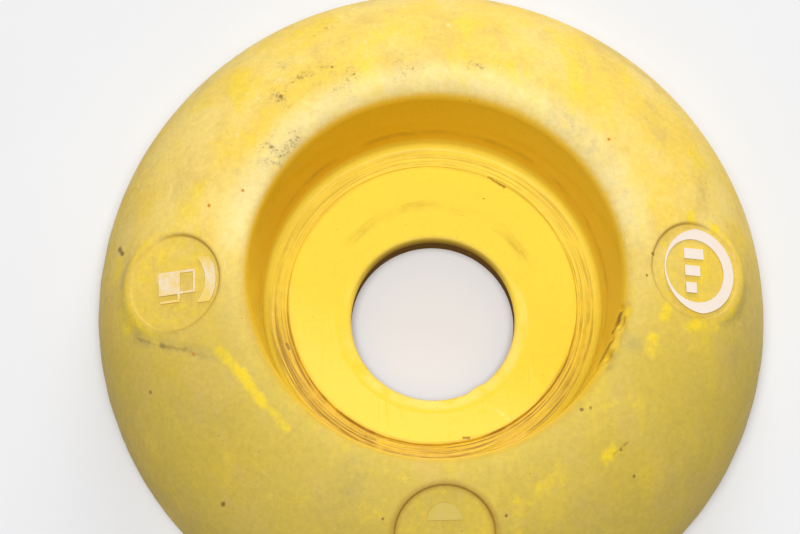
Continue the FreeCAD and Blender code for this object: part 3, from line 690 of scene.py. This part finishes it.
def cup_colour(finish, dirt_and_shade, rubbed_and_highlit, flat, radius, height, near, right):
    """Inside of the cup: cleaner yellow, with dirt in turned rings where the knob rubbed, painted shade
    on its wall and near floor, and a painted highlight on the hole's near rounding. Gives the colour and
    the mask of the dirt on it."""
    mottled = finish.fade(finish.noise(6, 5, 0.6, seed=11), 0.35, 0.75)
    colour = finish.coat(YELLOW, DEEP_YELLOW, mottled, 0.16)
    # painted shade: the near part of the floor is coated a darker yellow
    colour = finish.coat(colour, NEAR_FLOOR_SHADE, near, 0.85)
    # pale scratches, and a painted highlight on the hole's near rounding
    pale_marks = finish.sum("MULTIPLY", rubbed_and_highlit[0], finish.fade(finish.noise(4, 5, seed=61), 0.30, 0.62))
    colour = finish.coat(colour, SCRATCH_AND_HIGHLIGHT, pale_marks, 0.65)
    # deeper orange on the wall as painted shade, lighter towards the near side and the right as painted
    # light; ochre haze, thinner towards the right as painted light, and turned streaks in the gutter,
    # and its rings
    wall_shade = finish.span(height, *WALL_FOOT)
    wall_shade = finish.sum("MULTIPLY", wall_shade, finish.sum("MULTIPLY_ADD", near, -0.35, 1.0))
    wall_shade = finish.sum("MULTIPLY", wall_shade, finish.sum("MULTIPLY_ADD", right, -0.35, 1.0))
    colour = finish.mix(wall_shade, colour, WALL_SHADE_GOLD)
    gutter = finish.sum("MULTIPLY", finish.span(radius, *GUTTER_INNER),
                        finish.span(radius, *GUTTER_OUTER))
    haze_and_painted_light = finish.sum("MULTIPLY", gutter, finish.fade(finish.noise(6, 5, 0.7, seed=12), 0.25, 0.65))
    haze_and_painted_light = finish.sum("MULTIPLY", haze_and_painted_light, finish.sum("MULTIPLY_ADD", near, 0.50, 0.20))
    # painted light: the haze thins towards the right
    haze_and_painted_light = finish.sum("MULTIPLY", haze_and_painted_light, finish.sum("MULTIPLY_ADD", right, -0.45, 1.0))
    colour = finish.mix(haze_and_painted_light, colour, OCHRE)
    streaks = finish.fade(turned_streaks(finish, flat, radius, width=0.26, seed=5.0), 0.44, 0.62)
    streaks = finish.sum("MULTIPLY", streaks, finish.fade(finish.noise(11, 4, seed=13), 0.30, 0.56))
    streaks = finish.sum("MULTIPLY", streaks, gutter)
    rings = finish.sum("MULTIPLY", streaks, finish.sum("MULTIPLY_ADD", near, 0.42, 0.38))
    for number, (at, width, patchy, share) in enumerate(GUTTER_RINGS):
        gap = finish.sum("SUBTRACT", radius, at * MM)
        ring = dirt_ring(finish, gap, width, RING_WANDER, 14 + 2 * number, patchy)
        ring = finish.sum("MULTIPLY", ring,
                          finish.sum("MULTIPLY_ADD", near, 0.75 * share, 0.25 * share))
        rings = finish.sum("MAXIMUM", rings, ring)
    # the knob's rub on the wall, a smudge on the far floor, and loose dirt
    over_rub = finish.sum("SUBTRACT", height, KNOB_RUB_HEIGHT * MM)
    rub = dirt_ring(finish, over_rub, width=1.5, wander=0.7, seed=31, patchy=(0.34, 0.62))
    on_wall = finish.span(radius, FLOOR_EDGE - 0.4, FLOOR_EDGE)
    rub = finish.sum("MULTIPLY", rub, finish.sum("MULTIPLY", on_wall, 0.30))
    past_smudge = finish.sum("SUBTRACT", radius, SMUDGE_RADIUS * MM)
    smudge = dirt_ring(finish, past_smudge, width=1.3, wander=0.8, seed=33, patchy=(0.32, 0.66))
    turned = turned_streaks(finish, flat, radius, width=0.7, seed=9.0)
    turned = finish.fade(turned, 0.35, 0.65)
    smudge = finish.sum("MULTIPLY", smudge, turned)
    far = finish.fade(near, 0.16, 0.02)
    smudge = finish.sum("MULTIPLY", smudge, finish.sum("MULTIPLY", far, 0.42))
    rings = finish.sum("MAXIMUM", rings, finish.sum("MAXIMUM", rub, smudge))
    stray = finish.fade(finish.noise(0.6, 1, seed=35), 0.775, 0.81)
    grit = finish.sum("MAXIMUM", rings, finish.sum("MULTIPLY", stray, 0.7))
    ragged = finish.sum("MULTIPLY_ADD", finish.noise(1.1, 5, 0.75, seed=36), 1.6, -0.8)
    bits = finish.fade(finish.sum("ADD", dirt_and_shade[0], ragged), 0.25, 0.95)
    grit = finish.sum("MAXIMUM", grit, finish.sum("MULTIPLY", bits, 0.9))
    return finish.mix(grit, colour, RING_BROWN), grit


def plastic_finish():
    """The moulding's yellow plastic with all its dirt and wear, and its painted shade and highlight."""
    finish = Finish("worn_yellow_plastic")
    dirt_and_shade, rubbed_and_highlit, zone = (finish.layer(name) for name in ("dirt_and_shade", "rubbed_and_highlit", "zone"))
    in_cup, in_neck, on_back = zone[0], zone[1], zone[2]
    across, along, height = finish.put("ShaderNodeSeparateXYZ", finish.place).outputs
    flat = finish.put("ShaderNodeCombineXYZ", across, along, 0.0).outputs[0]
    radius = finish.put("ShaderNodeVectorMath", flat, operation="LENGTH").outputs["Value"]
    near = finish.span(along, *NEAR_SPAN)
    right = finish.span(across, *RIGHT_SPAN)
    outside, outside_marks = flange_colour(finish, dirt_and_shade, rubbed_and_highlit, radius, near, right)
    inside, inside_marks = cup_colour(finish, dirt_and_shade, rubbed_and_highlit, flat, radius, height, near, right)
    colour = finish.mix(in_cup, outside, inside)
    # the neck and the hole's far edge are darkened brown, as dirt and painted shade
    neck_dirt_and_shade = finish.sum("MULTIPLY", in_neck, finish.fade(finish.noise(3, 4, seed=41), -0.1, 0.4))
    colour = finish.coat(colour, NECK_BROWN, neck_dirt_and_shade, 0.95)
    under = finish.sum("MULTIPLY", on_back, finish.fade(finish.noise(9, 6, 0.7, seed=42), 0.2, 0.8))
    colour = finish.coat(colour, TAN, under, 0.8)
    # a fine light and dark grain over all of it, weaker in the cup
    grain = finish.sum("SUBTRACT", finish.noise(0.9, 5, 0.75, seed=43), 0.5)
    contrast = finish.sum("MULTIPLY_ADD", in_cup, -0.26, 0.42)
    shade = finish.sum("MULTIPLY_ADD", grain, contrast, 1.0)
    tone = finish.put("ShaderNodeCombineXYZ", shade, shade, shade).outputs[0]
    colour = finish.put("ShaderNodeVectorMath", colour, tone, operation="MULTIPLY").outputs[0]
    finish.feed(finish.shader.inputs["Base Color"], colour)

    # dull outside, satin in the cup, duller where there is dirt, and matte in the neck
    dull = finish.sum("MULTIPLY_ADD", finish.noise(2.5, 5, 0.65, seed=44), 0.26, 0.50)
    satin = finish.sum("MULTIPLY_ADD", finish.noise(2.5, 5, 0.65, seed=45), 0.18, 0.42)
    satin = finish.sum("MULTIPLY_ADD", inside_marks, 0.25, satin)
    rough = finish.put("ShaderNodeMix", in_cup, dull, satin, data_type="FLOAT").outputs[0]
    rough = finish.sum("MAXIMUM", rough, in_neck)
    finish.feed(finish.shader.inputs["Roughness"], rough)
    finish.shader.inputs["Specular IOR Level"].default_value = 0.10

    # relief: shallow dents, the mould's fine skin, scratches and the thickness of the dirt
    matte = finish.sum("MULTIPLY_ADD", in_cup, -0.8, 1.0)
    skin = finish.sum("MULTIPLY", finish.noise(0.30, 3, 0.6, seed=46), matte)
    dents = finish.sum("MULTIPLY", finish.noise(2.4, 5, 0.6, seed=47), matte)
    normal = finish.bump(dents, 0.10)
    normal = finish.bump(skin, 0.022, normal)
    scratch = finish.noise(0.7, 3, 0.6, stretch=(1.0, 0.07, 0.3), turn=20, seed=48)
    normal = finish.bump(finish.fade(scratch, 0.60, 0.70), -0.012, normal)
    grime = finish.sum("MAXIMUM", outside_marks, inside_marks)
    normal = finish.bump(grime, 0.02, normal)
    finish.feed(finish.shader.inputs["Normal"], normal)
    return finish.material


mesh.materials.append(plastic_finish())


# ---------------------------------------------------------------------------------------------
# Reserve pad: a broad ring and three bars of falling length, in white ink that has stayed crisp.
# The ink is a thin film on the pad's face, a little pink from age and pitted by the stamp.
INK_WHITE = (0.80, 0.70, 0.62, 1)
AGED_INK = (0.80, 0.68, 0.55, 1)


def ink_finish(name, cover, grain):
    """A material for ink, and the mask of the ink that is left. Cover is where the ink stays,
    as two levels of a noise of the given grain."""
    finish = Finish(name)
    left = finish.fade(finish.noise(grain, 6, 0.7, seed=51), *cover)
    pits = finish.fade(finish.noise(0.32, 2, 0.5, seed=52), 0.76, 0.68)
    return finish, finish.sum("MULTIPLY", left, pits)


def lay_ink(finish, left, ink, bare, nodes):
    """Paints prints with ink over bare plastic, a little rougher where it is worn through."""
    finish.feed(finish.shader.inputs["Base Color"], finish.mix(left, bare, ink))
    rough = finish.sum("MULTIPLY_ADD", left, -0.12, 0.62)
    finish.feed(finish.shader.inputs["Roughness"], rough)
    finish.shader.inputs["Specular IOR Level"].default_value = 0.35
    finish.feed(finish.shader.inputs["Normal"],
                finish.bump(finish.noise(0.30, 4, 0.6, seed=54), 0.02))
    for name in nodes:
        printed = frame["nodes"][name].data.materials
        printed.clear()
        printed.append(finish.material)


finish, left = ink_finish("crisp_ink", cover=(0.02, 0.22), grain=1.2)
aged = finish.mix(finish.noise(1.8, 4, seed=53), INK_WHITE, AGED_INK)
lay_ink(finish, left, aged, FLANGE_YELLOW, ("reserve_ring_print", "reserve_mark_print"))


# ---------------------------------------------------------------------------------------------
# Fuel pad: a pump sign and what is left of its ring, in the same ink rubbed thin, so that
# yellow shows through; the ring fades out towards both of its ends.
PAD_YELLOW = (0.80, 0.57, 0.11, 1)
finish, left = ink_finish("rubbed_ink", cover=(0.30, 0.66), grain=1.5)
along = finish.put("ShaderNodeSeparateXYZ", finish.place).outputs[1]
ends = finish.span(finish.sum("ABSOLUTE", along), 3.9, 1.6)
thin = finish.sum("MULTIPLY", finish.sum("MULTIPLY", left, ends), 0.72)
lay_ink(finish, thin, INK_WHITE, PAD_YELLOW, ("fuel_ring_print", "fuel_pump_print"))


# ---------------------------------------------------------------------------------------------
# Off pad: a half disc of ink, worn to a shadow that is hardly there, with nearly the colour of
# the dirty plastic round it.
PAD_GRIME = (0.62, 0.46, 0.07, 1)
finish, left = ink_finish("ghost_of_ink", cover=(0.25, 0.75), grain=1.4)
ghost = finish.sum("MULTIPLY", left, 0.08)
lay_ink(finish, ghost, INK_WHITE, PAD_GRIME, ("off_mark_print",))


# ---------------------------------------------------------------------------------------------
# Table top, studio light and camera: a white table, a broad lamp high over the part and a
# little to its near side, a weaker low lamp beyond its far side, and a camera above the near side.
TABLE_REACH = 1.2
TABLE_GREY, TABLE_WHITE = (0.68, 0.68, 0.69, 1), (0.72, 0.72, 0.73, 1)
table_mesh = bpy.data.meshes.new("table")
corners = [(-TABLE_REACH, -TABLE_REACH, 0), (TABLE_REACH, -TABLE_REACH, 0),
           (TABLE_REACH, TABLE_REACH, 0), (-TABLE_REACH, TABLE_REACH, 0)]
table_mesh.from_pydata(corners, [], [(0, 1, 2, 3)])
table = bpy.data.objects.new("table", table_mesh)
bpy.context.scene.collection.objects.link(table)
white = Finish("white_table")
white.feed(white.shader.inputs["Base Color"],
           white.mix(white.noise(40, 3), TABLE_GREY, TABLE_WHITE))
white.shader.inputs["Roughness"].default_value = 0.55
white.shader.inputs["Specular IOR Level"].default_value = 0.2
table_mesh.materials.append(white.material)

world = bpy.data.worlds.new("studio")
bpy.context.scene.world = world
world.use_nodes = True
world.node_tree.nodes["Background"].inputs["Color"].default_value = (0.96, 0.97, 1.0, 1)
world.node_tree.nodes["Background"].inputs["Strength"].default_value = 0.22


def add_lamp(name, place, width, depth, power):
    """A rectangular lamp that faces the middle of the part."""
    data = bpy.data.lights.new(name, "AREA")
    data.shape = "RECTANGLE"
    data.size, data.size_y, data.energy = width, depth, power
    lamp = bpy.data.objects.new(name, data)
    lamp.location = place
    lamp.rotation_euler = (-Vector(place)).to_track_quat("-Z", "Y").to_euler()
    bpy.context.scene.collection.objects.link(lamp)


add_lamp("softbox", (-0.02, -0.05, 0.62), width=0.44, depth=0.40, power=3.75)
add_lamp("window", (0.13, 0.63, 0.27), width=0.4, depth=0.3, power=2.5)

CAMERA_PLACE = Vector((-0.01576, -0.10579, 0.38309))
CAMERA_AIM = Vector((-0.00504, 0.00762, 0.0))
CAMERA_ROLL = math.radians(3.856)
camera_data = bpy.data.cameras.new("camera")
camera_data.sensor_width = 36.0
camera_data.lens = 108.0
camera_data.clip_start = 0.01
camera = bpy.data.objects.new("camera", camera_data)
aim = CAMERA_AIM - CAMERA_PLACE
roll = Matrix.Rotation(CAMERA_ROLL, 3, "Z")
camera.location = CAMERA_PLACE
camera.rotation_euler = (aim.to_track_quat("-Z", "Y").to_matrix() @ roll).to_euler()
bpy.context.scene.collection.objects.link(camera)
bpy.context.scene.camera = camera
bpy.context.scene.view_settings.view_transform = "Standard"
